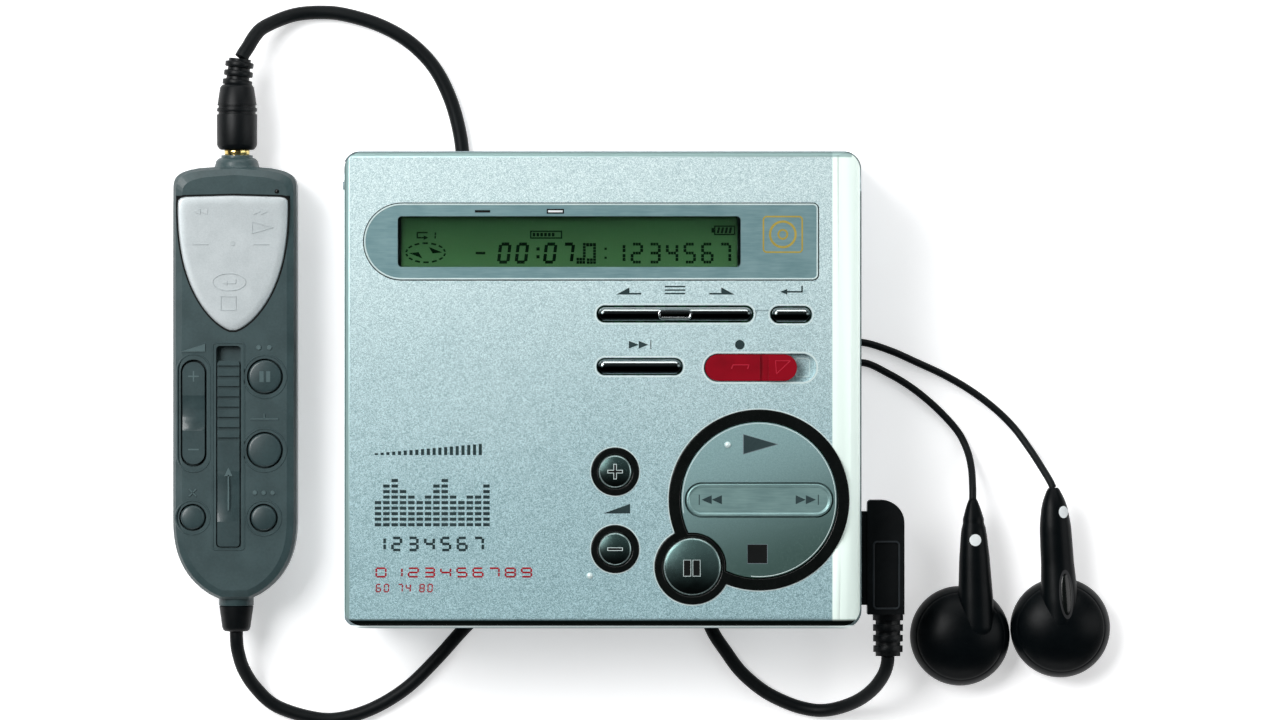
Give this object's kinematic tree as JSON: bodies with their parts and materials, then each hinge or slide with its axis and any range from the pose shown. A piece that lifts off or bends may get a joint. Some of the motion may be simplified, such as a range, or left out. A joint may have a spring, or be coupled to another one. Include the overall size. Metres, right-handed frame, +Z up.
{
  "type": "portable minidisc player",
  "caption": "Portable disc player with a hinged lid, display and round control pad, lying on a table with its wired remote control and earphones plugged in.",
  "frame": {"origin": "on the table top, under the middle of the player's outline", "axes": "+X to the player's right, +Y towards the lid's hinge, +Z up"},
  "size_m": [0.1482, 0.1141, 0.0279],
  "materials": {
    "case_silver": "silver-blue metallic lacquer, satin",
    "lid_aluminium": "silver-blue sparkle metallic, satin, bright rolled right edge",
    "bezel_grey": "grey-blue anodised, bright rim",
    "window_clear": "clear polished acrylic",
    "lcd_green": "dark green liquid crystal with grey segments",
    "key_chrome": "bright plated, slightly satin",
    "key_blue": "grey-blue pearl, polished",
    "pad_gradient": "grey-blue pearl, darker towards the lower right",
    "bar_silver": "brushed silver",
    "ring_black": "near-black polished",
    "slider_red": "deep red, polished, ribbed grip",
    "trim_grey": "grey, fine matt",
    "liner_silver": "silver-grey inside face, matt",
    "steel": "bright rolled steel",
    "holder_metal": "pressed sheet, bright",
    "steel_dark": "blackened steel",
    "contact_brass": "nickelled spring brass",
    "jack_black": "black moulded",
    "board_green": "green solder mask",
    "drive_black": "black moulded, fine matt",
    "remote_slate": "slate grey pearl, polished",
    "remote_silver": "silver, fine satin",
    "remote_key": "slate grey, polished",
    "cord_black": "black soft vinyl, slight sheen",
    "plug_black": "black moulded vinyl with gold-plated pin",
    "bud_black": "black polished",
    "bud_mesh": "dark perforated metal"
  },
  "bodies": {
    "player": {"lower_case": "case_silver", "battery_case": "case_silver", "battery_contacts": "contact_brass", "hinge_pins": "steel", "case_screws": "steel_dark", "case_jacks": "jack_black", "main_board": "board_green", "mech_chassis": "steel", "spindle_motor": "steel", "guide_rods": "steel", "sled_motor": "steel", "remote_back_shell": "remote_slate", "remote_front_shell": "remote_slate", "remote_board": "board_green", "remote_strain_relief": "plug_black", "player_plug": "plug_black", "remote_cord_plug_end": "cord_black", "remote_cord_coil": "cord_black", "remote_cord_free": "cord_black", "earphone_plug": "plug_black", "earphone_cord_upper": "cord_black", "earphone_cord_coil": "cord_black", "earphone_cord_tail": "cord_black", "cord_splitter": "plug_black", "bud_cord_right": "cord_black", "bud_cord_left": "cord_black", "earbud_housings": "bud_black", "earbud_grilles": "bud_mesh"},
    "battery_door": {"battery_door": "case_silver"},
    "open_latch": {"open_latch": "trim_grey"},
    "hold_switch": {"hold_switch": "trim_grey"},
    "turntable": {"turntable": "drive_black"},
    "pickup_sled": {"pickup_sled": "drive_black"},
    "lead_screw": {"lead_screw": "contact_brass"},
    "disc_holder": {"disc_holder": "holder_metal"},
    "lid": {"lid_panel": "lid_aluminium", "lid_liner": "liner_silver", "key_board": "board_green", "lcd_panel": "lcd_green", "display_window": "window_clear", "display_bezel": "bezel_grey", "volume_rings": "ring_black", "pad_surround": "ring_black"},
    "menu_rocker": {"menu_rocker": "key_chrome"},
    "enter_button": {"enter_button": "key_chrome"},
    "end_search_button": {"end_search_button": "key_chrome"},
    "rec_slider": {"rec_slider": "slider_red"},
    "vol_up_button": {"vol_up_button": "key_blue"},
    "vol_down_button": {"vol_down_button": "key_blue"},
    "control_pad": {"control_pad": "pad_gradient"},
    "skip_bar": {"skip_bar": "bar_silver"},
    "pause_button": {"pause_button": "key_blue"},
    "remote_clip": {"remote_clip": "remote_key"},
    "remote_key_plate": {"remote_key_plate": "remote_silver"},
    "remote_volume_rocker": {"remote_volume_rocker": "remote_key"},
    "remote_hold_slider": {"remote_hold_slider": "remote_key"},
    "remote_pause_button": {"remote_pause_button": "remote_key"},
    "remote_upper_button": {"remote_upper_button": "remote_key"},
    "remote_left_button": {"remote_left_button": "remote_key"},
    "remote_right_button": {"remote_right_button": "remote_key"}
  },
  "joints": [
    {"name": "lid_hinge", "type": "hinge", "parent": "player", "child": "lid", "pos_m": [0, 0.034, 0.0236], "axis": [-1, 0, 0], "range_deg": [0, 40]},
    {"name": "disc_holder_hinge", "type": "hinge", "parent": "player", "child": "disc_holder", "pos_m": [0, 0.034, 0.0236], "axis": [-1, 0, 0], "range_deg": [0, 24]},
    {"name": "battery_door_hinge", "type": "hinge", "parent": "player", "child": "battery_door", "pos_m": [0.012, 0.0364, 0.0148], "axis": [1, 0, 0], "range_deg": [0, 85]},
    {"name": "open_latch_slide", "type": "slide", "parent": "player", "child": "open_latch", "axis": [-1, 0, 0], "range_m": [0, 0.0025], "stiffness_N_per_m": 300},
    {"name": "hold_switch_slide", "type": "slide", "parent": "player", "child": "hold_switch", "axis": [0, 1, 0], "range_m": [0, 0.0035]},
    {"name": "turntable_spin", "type": "hinge", "parent": "player", "child": "turntable", "pos_m": [0, -0.0012, 0.014], "axis": [0, 0, 1], "continuous": true},
    {"name": "sled_slide", "type": "slide", "parent": "player", "child": "pickup_sled", "axis": [1, 0, 0], "range_m": [0, 0.0165]},
    {"name": "lead_screw_spin", "type": "hinge", "parent": "player", "child": "lead_screw", "pos_m": [0.022, 0.0126, 0.0145], "axis": [1, 0, 0], "range_deg": [0, 2975]},
    {"name": "menu_rocker_tilt", "type": "hinge", "parent": "lid", "child": "menu_rocker", "pos_m": [0.0113, 0.0117, 0.0268], "axis": [0, 1, 0], "range_deg": [-2, 2], "stiffness_Nm_per_rad": 0.05},
    {"name": "enter_press", "type": "slide", "parent": "lid", "child": "enter_button", "axis": [0, 0, -1], "range_m": [0, 0.0004], "stiffness_N_per_m": 400},
    {"name": "end_search_press", "type": "slide", "parent": "lid", "child": "end_search_button", "axis": [0, 0, -1], "range_m": [0, 0.0004], "stiffness_N_per_m": 400},
    {"name": "rec_slide", "type": "slide", "parent": "lid", "child": "rec_slider", "axis": [1, 0, 0], "range_m": [0, 0.0028]},
    {"name": "vol_up_press", "type": "slide", "parent": "lid", "child": "vol_up_button", "axis": [0, 0, -1], "range_m": [0, 0.00035], "stiffness_N_per_m": 400},
    {"name": "vol_down_press", "type": "slide", "parent": "lid", "child": "vol_down_button", "axis": [0, 0, -1], "range_m": [0, 0.00035], "stiffness_N_per_m": 400},
    {"name": "control_pad_tilt", "type": "hinge", "parent": "lid", "child": "control_pad", "pos_m": [0.0244, -0.0173, 0.026], "axis": [1, 0, 0], "range_deg": [-2.8, 2.8], "stiffness_Nm_per_rad": 0.05},
    {"name": "skip_bar_rock", "type": "hinge", "parent": "control_pad", "child": "skip_bar", "pos_m": [0.0244, -0.0173, 0.02697], "axis": [0, 1, 0], "range_deg": [-2.2, 2.2], "stiffness_Nm_per_rad": 0.03},
    {"name": "pause_press", "type": "slide", "parent": "lid", "child": "pause_button", "axis": [0, 0, -1], "range_m": [0, 0.0004], "stiffness_N_per_m": 400},
    {"name": "remote_clip_hinge", "type": "hinge", "parent": "player", "child": "remote_clip", "pos_m": [-0.0581, 0.008, 0.0016], "axis": [1, 0, 0], "range_deg": [0, 4.5], "stiffness_Nm_per_rad": 0.3, "springref_deg": -5.73},
    {"name": "remote_plate_rock", "type": "hinge", "parent": "player", "child": "remote_key_plate", "pos_m": [-0.05835, 0.0196, 0.0098], "axis": [0, 1, 0], "range_deg": [-3, 3], "stiffness_Nm_per_rad": 0.04},
    {"name": "remote_volume_rock", "type": "hinge", "parent": "player", "child": "remote_volume_rocker", "pos_m": [-0.06455, -0.00385, 0.0098], "axis": [1, 0, 0], "range_deg": [-3, 3], "stiffness_Nm_per_rad": 0.04},
    {"name": "remote_hold_slide", "type": "slide", "parent": "player", "child": "remote_hold_slider", "axis": [0, 1, 0], "range_m": [0, 0.0022]},
    {"name": "remote_pause_press", "type": "slide", "parent": "player", "child": "remote_pause_button", "axis": [0, 0, -1], "range_m": [0, 0.0004], "stiffness_N_per_m": 400},
    {"name": "remote_upper_press", "type": "slide", "parent": "player", "child": "remote_upper_button", "axis": [0, 0, -1], "range_m": [0, 0.0004], "stiffness_N_per_m": 400},
    {"name": "remote_left_press", "type": "slide", "parent": "player", "child": "remote_left_button", "axis": [0, 0, -1], "range_m": [0, 0.0004], "stiffness_N_per_m": 400},
    {"name": "remote_right_press", "type": "slide", "parent": "player", "child": "remote_right_button", "axis": [0, 0, -1], "range_m": [0, 0.0004], "stiffness_N_per_m": 400}
  ],
  "couplings": [
    {"joint": "disc_holder_hinge", "follows": "lid_hinge", "ratio": 0.6},
    {"joint": "lead_screw_spin", "follows": "sled_slide", "rad_per_m": 3141.6}
  ]
}
